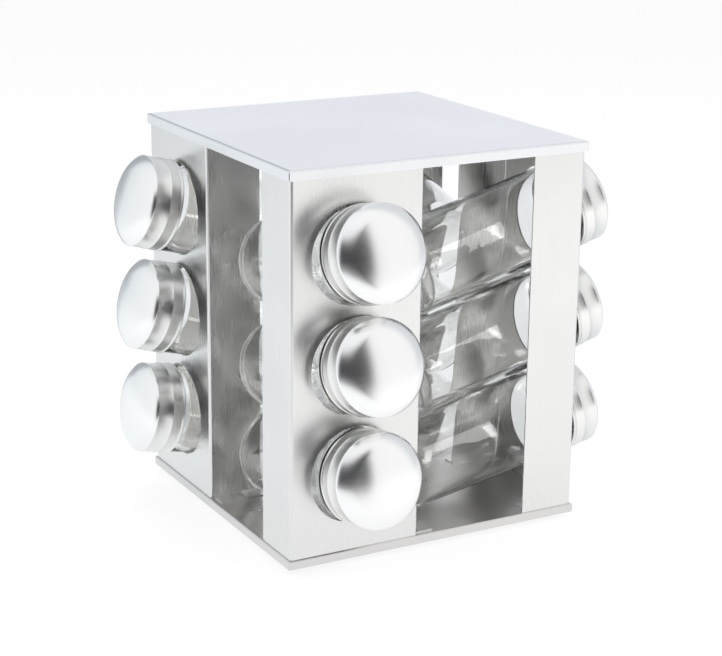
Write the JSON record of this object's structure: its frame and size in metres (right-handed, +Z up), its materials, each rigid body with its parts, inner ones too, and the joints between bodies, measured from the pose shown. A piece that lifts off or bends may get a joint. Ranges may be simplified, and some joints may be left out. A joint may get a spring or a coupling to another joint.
{
  "type": "spice carousel",
  "caption": "Square revolving spice rack: folded steel uprights between two steel pans hold screw-lid glass jars that lean in on every side, on a flat ball race.",
  "frame": {"origin": "on the table under the rack's centre, on the turning axis", "axes": "+Z up along the turning axis; -Y out of the front upright's lids; +X out of the right-hand upright's lids"},
  "size_m": [0.2346, 0.2346, 0.2051],
  "materials": {
    "cover_steel": "satin stainless sheet, folded, edges rounded",
    "tray_steel": "satin stainless sheet, folded",
    "upright_steel": "satin stainless sheet, punched and folded",
    "lid_steel": "drawn stainless shell, satin brushed face",
    "jar_glass": "clear pressed glass, polished",
    "liner_plastic": "moulded polyethylene",
    "race_steel": "zinc plated pressed steel",
    "ball_steel": "ground and polished steel",
    "cage_plastic": "moulded nylon",
    "rivet_steel": "zinc plated, peened",
    "screw_steel": "zinc plated",
    "foot_rubber": "moulded, matt"
  },
  "bodies": {
    "turntable_base": {"turntable_lower_plate": "race_steel", "rubber_feet": "foot_rubber", "pivot_rivet": "rivet_steel", "pivot_washer": "race_steel"},
    "ball_race": {"bearing_balls": "ball_steel", "ball_cage": "cage_plastic"},
    "carousel": {"top_cover": "cover_steel", "base_tray": "tray_steel", "upright_front": "upright_steel", "upright_right": "upright_steel", "upright_back": "upright_steel", "upright_left": "upright_steel", "turntable_upper_plate": "race_steel", "plate_rivets": "rivet_steel", "tray_screws": "screw_steel", "cover_studs": "screw_steel", "cover_nuts": "screw_steel"},
    "jar_front_bottom": {"jar_front_bottom": "jar_glass"},
    "lid_front_bottom": {"lid_front_bottom": "lid_steel", "liner_front_bottom": "liner_plastic"},
    "jar_front_middle": {"jar_front_middle": "jar_glass"},
    "lid_front_middle": {"lid_front_middle": "lid_steel", "liner_front_middle": "liner_plastic"},
    "jar_front_top": {"jar_front_top": "jar_glass"},
    "lid_front_top": {"lid_front_top": "lid_steel", "liner_front_top": "liner_plastic"},
    "jar_right_bottom": {"jar_right_bottom": "jar_glass"},
    "lid_right_bottom": {"lid_right_bottom": "lid_steel", "liner_right_bottom": "liner_plastic"},
    "jar_right_middle": {"jar_right_middle": "jar_glass"},
    "lid_right_middle": {"lid_right_middle": "lid_steel", "liner_right_middle": "liner_plastic"},
    "jar_right_top": {"jar_right_top": "jar_glass"},
    "lid_right_top": {"lid_right_top": "lid_steel", "liner_right_top": "liner_plastic"},
    "jar_back_bottom": {"jar_back_bottom": "jar_glass"},
    "lid_back_bottom": {"lid_back_bottom": "lid_steel", "liner_back_bottom": "liner_plastic"},
    "jar_back_middle": {"jar_back_middle": "jar_glass"},
    "lid_back_middle": {"lid_back_middle": "lid_steel", "liner_back_middle": "liner_plastic"},
    "jar_back_top": {"jar_back_top": "jar_glass"},
    "lid_back_top": {"lid_back_top": "lid_steel", "liner_back_top": "liner_plastic"},
    "jar_left_bottom": {"jar_left_bottom": "jar_glass"},
    "lid_left_bottom": {"lid_left_bottom": "lid_steel", "liner_left_bottom": "liner_plastic"},
    "jar_left_middle": {"jar_left_middle": "jar_glass"},
    "lid_left_middle": {"lid_left_middle": "lid_steel", "liner_left_middle": "liner_plastic"},
    "jar_left_top": {"jar_left_top": "jar_glass"},
    "lid_left_top": {"lid_left_top": "lid_steel", "liner_left_top": "liner_plastic"}
  },
  "joints": [
    {"name": "carousel_spin", "type": "hinge", "parent": "turntable_base", "child": "carousel", "pos_m": [0, 0, 0], "axis": [0, 0, 1], "continuous": true},
    {"name": "cage_spin", "type": "hinge", "parent": "turntable_base", "child": "ball_race", "pos_m": [0, 0, 0], "axis": [0, 0, 1], "continuous": true},
    {"name": "jar_front_bottom_slide", "type": "slide", "parent": "carousel", "child": "jar_front_bottom", "axis": [0, -0.9825, 0.1862], "range_m": [0, 0.105]},
    {"name": "lid_front_bottom_lift", "type": "slide", "parent": "jar_front_bottom", "child": "lid_front_bottom", "axis": [0, -0.9825, 0.1862], "range_m": [0, 0.03]},
    {"name": "jar_front_middle_slide", "type": "slide", "parent": "carousel", "child": "jar_front_middle", "axis": [0, -0.9659, 0.2588], "range_m": [0, 0.105]},
    {"name": "lid_front_middle_lift", "type": "slide", "parent": "jar_front_middle", "child": "lid_front_middle", "axis": [0, -0.9659, 0.2588], "range_m": [0, 0.03]},
    {"name": "jar_front_top_slide", "type": "slide", "parent": "carousel", "child": "jar_front_top", "axis": [0, -0.9659, 0.2588], "range_m": [0, 0.105]},
    {"name": "lid_front_top_lift", "type": "slide", "parent": "jar_front_top", "child": "lid_front_top", "axis": [0, -0.9659, 0.2588], "range_m": [0, 0.03]},
    {"name": "jar_right_bottom_slide", "type": "slide", "parent": "carousel", "child": "jar_right_bottom", "axis": [0.9825, 0, 0.1862], "range_m": [0, 0.105]},
    {"name": "lid_right_bottom_lift", "type": "slide", "parent": "jar_right_bottom", "child": "lid_right_bottom", "axis": [0.9825, 0, 0.1862], "range_m": [0, 0.03]},
    {"name": "jar_right_middle_slide", "type": "slide", "parent": "carousel", "child": "jar_right_middle", "axis": [0.9659, 0, 0.2588], "range_m": [0, 0.105]},
    {"name": "lid_right_middle_lift", "type": "slide", "parent": "jar_right_middle", "child": "lid_right_middle", "axis": [0.9659, 0, 0.2588], "range_m": [0, 0.03]},
    {"name": "jar_right_top_slide", "type": "slide", "parent": "carousel", "child": "jar_right_top", "axis": [0.9659, 0, 0.2588], "range_m": [0, 0.105]},
    {"name": "lid_right_top_lift", "type": "slide", "parent": "jar_right_top", "child": "lid_right_top", "axis": [0.9659, 0, 0.2588], "range_m": [0, 0.03]},
    {"name": "jar_back_bottom_slide", "type": "slide", "parent": "carousel", "child": "jar_back_bottom", "axis": [0, 0.9825, 0.1862], "range_m": [0, 0.105]},
    {"name": "lid_back_bottom_lift", "type": "slide", "parent": "jar_back_bottom", "child": "lid_back_bottom", "axis": [0, 0.9825, 0.1862], "range_m": [0, 0.03]},
    {"name": "jar_back_middle_slide", "type": "slide", "parent": "carousel", "child": "jar_back_middle", "axis": [0, 0.9659, 0.2588], "range_m": [0, 0.105]},
    {"name": "lid_back_middle_lift", "type": "slide", "parent": "jar_back_middle", "child": "lid_back_middle", "axis": [0, 0.9659, 0.2588], "range_m": [0, 0.03]},
    {"name": "jar_back_top_slide", "type": "slide", "parent": "carousel", "child": "jar_back_top", "axis": [0, 0.9659, 0.2588], "range_m": [0, 0.105]},
    {"name": "lid_back_top_lift", "type": "slide", "parent": "jar_back_top", "child": "lid_back_top", "axis": [0, 0.9659, 0.2588], "range_m": [0, 0.03]},
    {"name": "jar_left_bottom_slide", "type": "slide", "parent": "carousel", "child": "jar_left_bottom", "axis": [-0.9825, 0, 0.1862], "range_m": [0, 0.105]},
    {"name": "lid_left_bottom_lift", "type": "slide", "parent": "jar_left_bottom", "child": "lid_left_bottom", "axis": [-0.9825, 0, 0.1862], "range_m": [0, 0.03]},
    {"name": "jar_left_middle_slide", "type": "slide", "parent": "carousel", "child": "jar_left_middle", "axis": [-0.9659, 0, 0.2588], "range_m": [0, 0.105]},
    {"name": "lid_left_middle_lift", "type": "slide", "parent": "jar_left_middle", "child": "lid_left_middle", "axis": [-0.9659, 0, 0.2588], "range_m": [0, 0.03]},
    {"name": "jar_left_top_slide", "type": "slide", "parent": "carousel", "child": "jar_left_top", "axis": [-0.9659, 0, 0.2588], "range_m": [0, 0.105]},
    {"name": "lid_left_top_lift", "type": "slide", "parent": "jar_left_top", "child": "lid_left_top", "axis": [-0.9659, 0, 0.2588], "range_m": [0, 0.03]}
  ],
  "couplings": [
    {"joint": "cage_spin", "follows": "carousel_spin", "ratio": 0.5}
  ]
}
